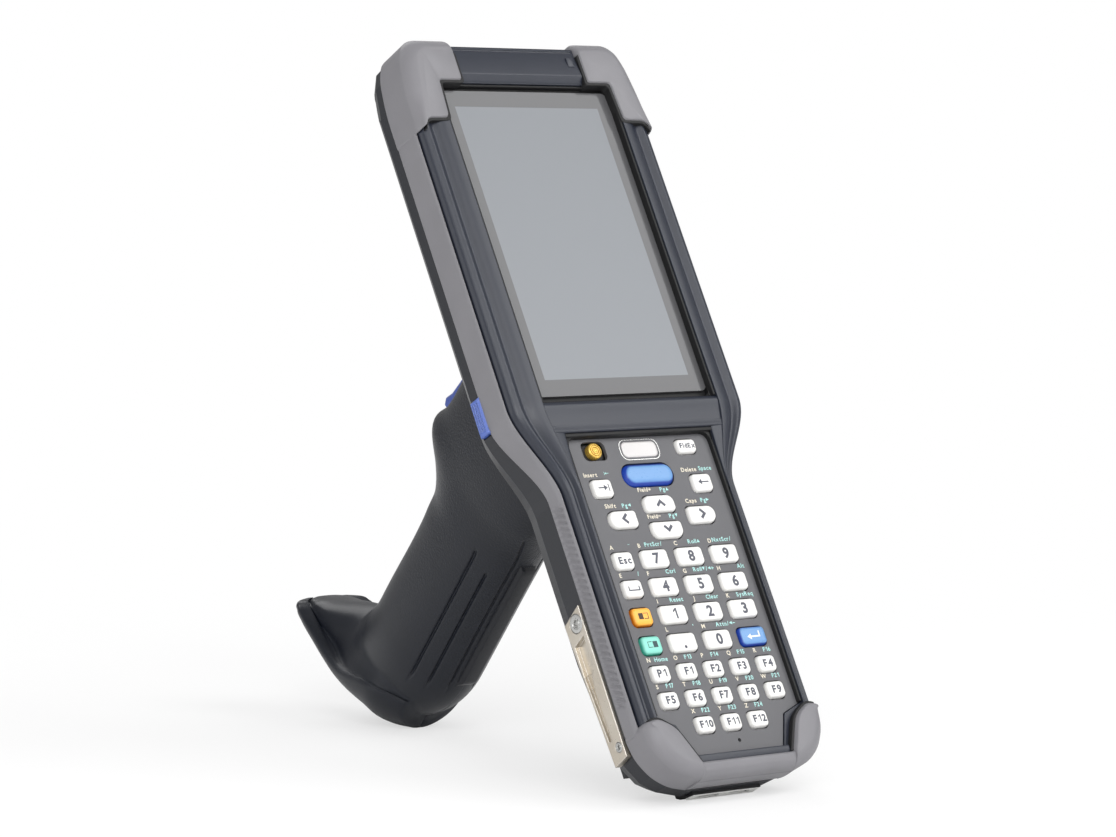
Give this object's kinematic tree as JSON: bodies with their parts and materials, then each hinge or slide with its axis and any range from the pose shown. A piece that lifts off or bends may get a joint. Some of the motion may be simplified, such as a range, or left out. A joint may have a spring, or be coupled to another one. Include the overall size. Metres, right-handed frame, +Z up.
{
  "type": "portable barcode data terminal",
  "caption": "Hand-held data terminal with a touch display, a full keypad and a scanner in its top end, on a pistol grip with a trigger; it stands on the grip's heel and its dock end.",
  "frame": {"origin": "on the floor, under the middle of the standing terminal", "axes": "+Z up, +X to the right for someone facing the display, +Y away from them, behind the display"},
  "size_m": [0.0858, 0.2016, 0.2057],
  "materials": {
    "front_plastic": "fine textured, matt",
    "rear_plastic": "fine textured, matt",
    "bumper_rubber": "soft, matt",
    "glass": "clear over a dark printed border",
    "display": "satin",
    "panel_plastic": "fine textured",
    "mat_rubber": "matt",
    "lens_plastic": "milky",
    "board": "lacquered",
    "window": "dark, clear",
    "engine_metal": "matt",
    "battery_plastic": "fine textured",
    "connector_plastic": "smooth",
    "rail_metal": "cast, satin",
    "screw_metal": "satin",
    "grip_plastic": "leather-grained, matt",
    "spine_plastic": "matt",
    "trigger_plastic": "smooth",
    "switch_plastic": "matt",
    "button_plastic": "smooth",
    "power_metal": "satin",
    "key_white": "smooth",
    "key_blue": "smooth",
    "key_orange": "smooth",
    "key_green": "smooth"
  },
  "bodies": {
    "terminal": {"front_housing": "front_plastic", "rear_housing": "rear_plastic", "bumper": "bumper_rubber", "touch_glass": "glass", "lcd_module": "display", "keypad_panel": "panel_plastic", "keypad_mat": "mat_rubber", "status_lens": "lens_plastic", "main_board": "board", "scan_window": "window", "scan_engine": "engine_metal", "battery_pack": "battery_plastic", "dock_connector": "connector_plastic", "side_rails": "rail_metal", "rail_screws": "screw_metal", "grip_left": "grip_plastic", "grip_right": "grip_plastic", "grip_spine": "spine_plastic", "trigger_switch": "switch_plastic"},
    "trigger": {"trigger": "trigger_plastic"},
    "side_button_left": {"side_button_left": "button_plastic"},
    "side_button_right": {"side_button_right": "button_plastic"},
    "key_power": {"key_power": "power_metal"},
    "key_scan": {"key_scan": "key_blue"},
    "key_field": {"key_field": "key_white"},
    "key_orange": {"key_orange": "key_orange"},
    "key_green": {"key_green": "key_green"},
    "key_enter": {"key_enter": "key_blue"},
    "key_tab": {"key_tab": "key_white"},
    "key_backspace": {"key_backspace": "key_white"},
    "key_up": {"key_up": "key_white"},
    "key_left": {"key_left": "key_white"},
    "key_right": {"key_right": "key_white"},
    "key_down": {"key_down": "key_white"},
    "key_escape": {"key_escape": "key_white"},
    "key_7": {"key_7": "key_white"},
    "key_8": {"key_8": "key_white"},
    "key_9": {"key_9": "key_white"},
    "key_space": {"key_space": "key_white"},
    "key_4": {"key_4": "key_white"},
    "key_5": {"key_5": "key_white"},
    "key_6": {"key_6": "key_white"},
    "key_1": {"key_1": "key_white"},
    "key_2": {"key_2": "key_white"},
    "key_3": {"key_3": "key_white"},
    "key_point": {"key_point": "key_white"},
    "key_0": {"key_0": "key_white"},
    "key_p1": {"key_p1": "key_white"},
    "key_f1": {"key_f1": "key_white"},
    "key_f2": {"key_f2": "key_white"},
    "key_f3": {"key_f3": "key_white"},
    "key_f4": {"key_f4": "key_white"},
    "key_f5": {"key_f5": "key_white"},
    "key_f6": {"key_f6": "key_white"},
    "key_f7": {"key_f7": "key_white"},
    "key_f8": {"key_f8": "key_white"},
    "key_f9": {"key_f9": "key_white"},
    "key_f10": {"key_f10": "key_white"},
    "key_f11": {"key_f11": "key_white"},
    "key_f12": {"key_f12": "key_white"}
  },
  "joints": [
    {"name": "trigger_pull", "type": "hinge", "parent": "terminal", "child": "trigger", "pos_m": [0, 0.01274, 0.11027], "axis": [-1, 0, 0], "range_deg": [0, 10], "stiffness_Nm_per_rad": 0.15, "springref_deg": -11.46},
    {"name": "side_button_left_press", "type": "slide", "parent": "terminal", "child": "side_button_left", "axis": [1, 0, 0], "range_m": [0, 0.0008], "stiffness_N_per_m": 1200, "springref_m": -0.0005},
    {"name": "side_button_right_press", "type": "slide", "parent": "terminal", "child": "side_button_right", "axis": [-1, 0, 0], "range_m": [0, 0.0008], "stiffness_N_per_m": 1200, "springref_m": -0.0005},
    {"name": "key_power_press", "type": "slide", "parent": "terminal", "child": "key_power", "axis": [0, 0.8643, -0.5029], "range_m": [0, 0.0009], "stiffness_N_per_m": 800, "springref_m": -0.0005},
    {"name": "key_scan_press", "type": "slide", "parent": "terminal", "child": "key_scan", "axis": [0, 0.8643, -0.5029], "range_m": [0, 0.0009], "stiffness_N_per_m": 800, "springref_m": -0.0005},
    {"name": "key_field_press", "type": "slide", "parent": "terminal", "child": "key_field", "axis": [0, 0.8643, -0.5029], "range_m": [0, 0.0009], "stiffness_N_per_m": 800, "springref_m": -0.0005},
    {"name": "key_orange_press", "type": "slide", "parent": "terminal", "child": "key_orange", "axis": [0, 0.8643, -0.5029], "range_m": [0, 0.0009], "stiffness_N_per_m": 800, "springref_m": -0.0005},
    {"name": "key_green_press", "type": "slide", "parent": "terminal", "child": "key_green", "axis": [0, 0.8643, -0.5029], "range_m": [0, 0.0009], "stiffness_N_per_m": 800, "springref_m": -0.0005},
    {"name": "key_enter_press", "type": "slide", "parent": "terminal", "child": "key_enter", "axis": [0, 0.8643, -0.5029], "range_m": [0, 0.0009], "stiffness_N_per_m": 800, "springref_m": -0.0005},
    {"name": "key_tab_press", "type": "slide", "parent": "terminal", "child": "key_tab", "axis": [0, 0.8643, -0.5029], "range_m": [0, 0.0009], "stiffness_N_per_m": 800, "springref_m": -0.0005},
    {"name": "key_backspace_press", "type": "slide", "parent": "terminal", "child": "key_backspace", "axis": [0, 0.8643, -0.5029], "range_m": [0, 0.0009], "stiffness_N_per_m": 800, "springref_m": -0.0005},
    {"name": "key_up_press", "type": "slide", "parent": "terminal", "child": "key_up", "axis": [0, 0.8643, -0.5029], "range_m": [0, 0.0009], "stiffness_N_per_m": 800, "springref_m": -0.0005},
    {"name": "key_left_press", "type": "slide", "parent": "terminal", "child": "key_left", "axis": [0, 0.8643, -0.5029], "range_m": [0, 0.0009], "stiffness_N_per_m": 800, "springref_m": -0.0005},
    {"name": "key_right_press", "type": "slide", "parent": "terminal", "child": "key_right", "axis": [0, 0.8643, -0.5029], "range_m": [0, 0.0009], "stiffness_N_per_m": 800, "springref_m": -0.0005},
    {"name": "key_down_press", "type": "slide", "parent": "terminal", "child": "key_down", "axis": [0, 0.8643, -0.5029], "range_m": [0, 0.0009], "stiffness_N_per_m": 800, "springref_m": -0.0005},
    {"name": "key_escape_press", "type": "slide", "parent": "terminal", "child": "key_escape", "axis": [0, 0.8643, -0.5029], "range_m": [0, 0.0009], "stiffness_N_per_m": 800, "springref_m": -0.0005},
    {"name": "key_7_press", "type": "slide", "parent": "terminal", "child": "key_7", "axis": [0, 0.8643, -0.5029], "range_m": [0, 0.0009], "stiffness_N_per_m": 800, "springref_m": -0.0005},
    {"name": "key_8_press", "type": "slide", "parent": "terminal", "child": "key_8", "axis": [0, 0.8643, -0.5029], "range_m": [0, 0.0009], "stiffness_N_per_m": 800, "springref_m": -0.0005},
    {"name": "key_9_press", "type": "slide", "parent": "terminal", "child": "key_9", "axis": [0, 0.8643, -0.5029], "range_m": [0, 0.0009], "stiffness_N_per_m": 800, "springref_m": -0.0005},
    {"name": "key_space_press", "type": "slide", "parent": "terminal", "child": "key_space", "axis": [0, 0.8643, -0.5029], "range_m": [0, 0.0009], "stiffness_N_per_m": 800, "springref_m": -0.0005},
    {"name": "key_4_press", "type": "slide", "parent": "terminal", "child": "key_4", "axis": [0, 0.8643, -0.5029], "range_m": [0, 0.0009], "stiffness_N_per_m": 800, "springref_m": -0.0005},
    {"name": "key_5_press", "type": "slide", "parent": "terminal", "child": "key_5", "axis": [0, 0.8643, -0.5029], "range_m": [0, 0.0009], "stiffness_N_per_m": 800, "springref_m": -0.0005},
    {"name": "key_6_press", "type": "slide", "parent": "terminal", "child": "key_6", "axis": [0, 0.8643, -0.5029], "range_m": [0, 0.0009], "stiffness_N_per_m": 800, "springref_m": -0.0005},
    {"name": "key_1_press", "type": "slide", "parent": "terminal", "child": "key_1", "axis": [0, 0.8643, -0.5029], "range_m": [0, 0.0009], "stiffness_N_per_m": 800, "springref_m": -0.0005},
    {"name": "key_2_press", "type": "slide", "parent": "terminal", "child": "key_2", "axis": [0, 0.8643, -0.5029], "range_m": [0, 0.0009], "stiffness_N_per_m": 800, "springref_m": -0.0005},
    {"name": "key_3_press", "type": "slide", "parent": "terminal", "child": "key_3", "axis": [0, 0.8643, -0.5029], "range_m": [0, 0.0009], "stiffness_N_per_m": 800, "springref_m": -0.0005},
    {"name": "key_point_press", "type": "slide", "parent": "terminal", "child": "key_point", "axis": [0, 0.8643, -0.5029], "range_m": [0, 0.0009], "stiffness_N_per_m": 800, "springref_m": -0.0005},
    {"name": "key_0_press", "type": "slide", "parent": "terminal", "child": "key_0", "axis": [0, 0.8643, -0.5029], "range_m": [0, 0.0009], "stiffness_N_per_m": 800, "springref_m": -0.0005},
    {"name": "key_p1_press", "type": "slide", "parent": "terminal", "child": "key_p1", "axis": [0, 0.8643, -0.5029], "range_m": [0, 0.0009], "stiffness_N_per_m": 800, "springref_m": -0.0005},
    {"name": "key_f1_press", "type": "slide", "parent": "terminal", "child": "key_f1", "axis": [0, 0.8643, -0.5029], "range_m": [0, 0.0009], "stiffness_N_per_m": 800, "springref_m": -0.0005},
    {"name": "key_f2_press", "type": "slide", "parent": "terminal", "child": "key_f2", "axis": [0, 0.8643, -0.5029], "range_m": [0, 0.0009], "stiffness_N_per_m": 800, "springref_m": -0.0005},
    {"name": "key_f3_press", "type": "slide", "parent": "terminal", "child": "key_f3", "axis": [0, 0.8643, -0.5029], "range_m": [0, 0.0009], "stiffness_N_per_m": 800, "springref_m": -0.0005},
    {"name": "key_f4_press", "type": "slide", "parent": "terminal", "child": "key_f4", "axis": [0, 0.8643, -0.5029], "range_m": [0, 0.0009], "stiffness_N_per_m": 800, "springref_m": -0.0005},
    {"name": "key_f5_press", "type": "slide", "parent": "terminal", "child": "key_f5", "axis": [0, 0.8643, -0.5029], "range_m": [0, 0.0009], "stiffness_N_per_m": 800, "springref_m": -0.0005},
    {"name": "key_f6_press", "type": "slide", "parent": "terminal", "child": "key_f6", "axis": [0, 0.8643, -0.5029], "range_m": [0, 0.0009], "stiffness_N_per_m": 800, "springref_m": -0.0005},
    {"name": "key_f7_press", "type": "slide", "parent": "terminal", "child": "key_f7", "axis": [0, 0.8643, -0.5029], "range_m": [0, 0.0009], "stiffness_N_per_m": 800, "springref_m": -0.0005},
    {"name": "key_f8_press", "type": "slide", "parent": "terminal", "child": "key_f8", "axis": [0, 0.8643, -0.5029], "range_m": [0, 0.0009], "stiffness_N_per_m": 800, "springref_m": -0.0005},
    {"name": "key_f9_press", "type": "slide", "parent": "terminal", "child": "key_f9", "axis": [0, 0.8643, -0.5029], "range_m": [0, 0.0009], "stiffness_N_per_m": 800, "springref_m": -0.0005},
    {"name": "key_f10_press", "type": "slide", "parent": "terminal", "child": "key_f10", "axis": [0, 0.8643, -0.5029], "range_m": [0, 0.0009], "stiffness_N_per_m": 800, "springref_m": -0.0005},
    {"name": "key_f11_press", "type": "slide", "parent": "terminal", "child": "key_f11", "axis": [0, 0.8643, -0.5029], "range_m": [0, 0.0009], "stiffness_N_per_m": 800, "springref_m": -0.0005},
    {"name": "key_f12_press", "type": "slide", "parent": "terminal", "child": "key_f12", "axis": [0, 0.8643, -0.5029], "range_m": [0, 0.0009], "stiffness_N_per_m": 800, "springref_m": -0.0005}
  ]
}
